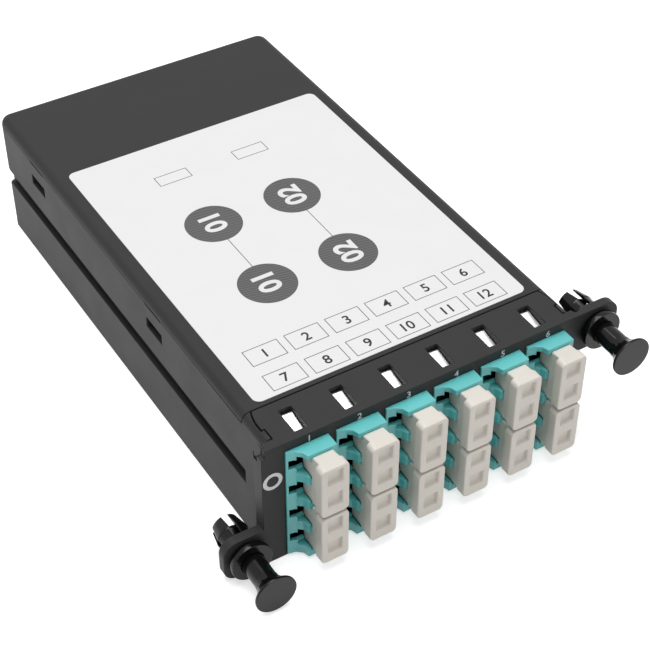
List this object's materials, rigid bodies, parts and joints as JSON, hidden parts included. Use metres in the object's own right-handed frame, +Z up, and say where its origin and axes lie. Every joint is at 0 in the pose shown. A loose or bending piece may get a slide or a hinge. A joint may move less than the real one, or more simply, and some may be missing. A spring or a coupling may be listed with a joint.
{
  "type": "fibre cassette",
  "caption": "Slim fibre patching cassette: moulded housing with side guide grooves, front panel of upright quad adapters with dust caps, and a push-pull fastener in an ear at each end.",
  "frame": {"origin": "centre of the housing's flat underside: half way across it, and half way from the panel's face to the back wall", "axes": "+X to the right along the front, +Y from the front panel to the back, +Z up"},
  "size_m": [0.086, 0.1381, 0.0291],
  "materials": {
    "housing_plastic": "fine matt grain",
    "label_paper": "printed matt film",
    "adapter_plastic": "moulded satin",
    "cap_plastic": "moulded satin",
    "spring_steel": "rolled strip",
    "fastener_plastic": "moulded semi-gloss",
    "ceramic": "ground ceramic",
    "plug_plastic": "moulded",
    "fibre_coating": "extruded"
  },
  "bodies": {
    "cassette": {"adapter_1": "adapter_plastic", "adapter_2": "adapter_plastic", "adapter_3": "adapter_plastic", "adapter_4": "adapter_plastic", "adapter_5": "adapter_plastic", "adapter_6": "adapter_plastic", "alignment_sleeves": "ceramic", "base_tray": "housing_plastic", "fanout_left": "plug_plastic", "fanout_right": "plug_plastic", "fibres_1": "fibre_coating", "fibres_2": "fibre_coating", "fibres_3": "fibre_coating", "fibres_4": "fibre_coating", "fibres_5": "fibre_coating", "fibres_6": "fibre_coating", "front_panel": "housing_plastic", "grommet_left": "fastener_plastic", "grommet_right": "fastener_plastic", "inner_plugs_1": "plug_plastic", "inner_plugs_2": "plug_plastic", "inner_plugs_3": "plug_plastic", "inner_plugs_4": "plug_plastic", "inner_plugs_5": "plug_plastic", "inner_plugs_6": "plug_plastic", "spring_clip_1": "spring_steel", "spring_clip_2": "spring_steel", "spring_clip_3": "spring_steel", "spring_clip_4": "spring_steel", "spring_clip_5": "spring_steel", "spring_clip_6": "spring_steel", "top_cover": "housing_plastic", "top_label": "label_paper", "trunk_adapter_left": "adapter_plastic", "trunk_adapter_right": "adapter_plastic", "trunk_cap_left": "cap_plastic", "trunk_cap_right": "cap_plastic", "trunk_jacket_left": "fibre_coating", "trunk_jacket_right": "fibre_coating", "trunk_plug_left": "plug_plastic", "trunk_plug_right": "plug_plastic"},
    "dust_cap_1_lower_body": {"dust_cap_1_lower": "cap_plastic"},
    "dust_cap_1_upper_body": {"dust_cap_1_upper": "cap_plastic"},
    "dust_cap_2_lower_body": {"dust_cap_2_lower": "cap_plastic"},
    "dust_cap_2_upper_body": {"dust_cap_2_upper": "cap_plastic"},
    "dust_cap_3_lower_body": {"dust_cap_3_lower": "cap_plastic"},
    "dust_cap_3_upper_body": {"dust_cap_3_upper": "cap_plastic"},
    "dust_cap_4_lower_body": {"dust_cap_4_lower": "cap_plastic"},
    "dust_cap_4_upper_body": {"dust_cap_4_upper": "cap_plastic"},
    "dust_cap_5_lower_body": {"dust_cap_5_lower": "cap_plastic"},
    "dust_cap_5_upper_body": {"dust_cap_5_upper": "cap_plastic"},
    "dust_cap_6_lower_body": {"dust_cap_6_lower": "cap_plastic"},
    "dust_cap_6_upper_body": {"dust_cap_6_upper": "cap_plastic"},
    "plunger_left_body": {"plunger_left": "fastener_plastic"},
    "plunger_right_body": {"plunger_right": "fastener_plastic"}
  },
  "joints": [
    {"name": "dust_cap_1_lower_pull", "type": "slide", "parent": "cassette", "child": "dust_cap_1_lower_body", "axis": [0, -1, 0], "range_m": [0, 0.009]},
    {"name": "dust_cap_1_upper_pull", "type": "slide", "parent": "cassette", "child": "dust_cap_1_upper_body", "axis": [0, -1, 0], "range_m": [0, 0.009]},
    {"name": "dust_cap_2_lower_pull", "type": "slide", "parent": "cassette", "child": "dust_cap_2_lower_body", "axis": [0, -1, 0], "range_m": [0, 0.009]},
    {"name": "dust_cap_2_upper_pull", "type": "slide", "parent": "cassette", "child": "dust_cap_2_upper_body", "axis": [0, -1, 0], "range_m": [0, 0.009]},
    {"name": "dust_cap_3_lower_pull", "type": "slide", "parent": "cassette", "child": "dust_cap_3_lower_body", "axis": [0, -1, 0], "range_m": [0, 0.009]},
    {"name": "dust_cap_3_upper_pull", "type": "slide", "parent": "cassette", "child": "dust_cap_3_upper_body", "axis": [0, -1, 0], "range_m": [0, 0.009]},
    {"name": "dust_cap_4_lower_pull", "type": "slide", "parent": "cassette", "child": "dust_cap_4_lower_body", "axis": [0, -1, 0], "range_m": [0, 0.009]},
    {"name": "dust_cap_4_upper_pull", "type": "slide", "parent": "cassette", "child": "dust_cap_4_upper_body", "axis": [0, -1, 0], "range_m": [0, 0.009]},
    {"name": "dust_cap_5_lower_pull", "type": "slide", "parent": "cassette", "child": "dust_cap_5_lower_body", "axis": [0, -1, 0], "range_m": [0, 0.009]},
    {"name": "dust_cap_5_upper_pull", "type": "slide", "parent": "cassette", "child": "dust_cap_5_upper_body", "axis": [0, -1, 0], "range_m": [0, 0.009]},
    {"name": "dust_cap_6_lower_pull", "type": "slide", "parent": "cassette", "child": "dust_cap_6_lower_body", "axis": [0, -1, 0], "range_m": [0, 0.009]},
    {"name": "dust_cap_6_upper_pull", "type": "slide", "parent": "cassette", "child": "dust_cap_6_upper_body", "axis": [0, -1, 0], "range_m": [0, 0.009]},
    {"name": "plunger_left_push", "type": "slide", "parent": "cassette", "child": "plunger_left_body", "axis": [0, 1, 0], "range_m": [0, 0.005]},
    {"name": "plunger_right_push", "type": "slide", "parent": "cassette", "child": "plunger_right_body", "axis": [0, 1, 0], "range_m": [0, 0.005]}
  ]
}
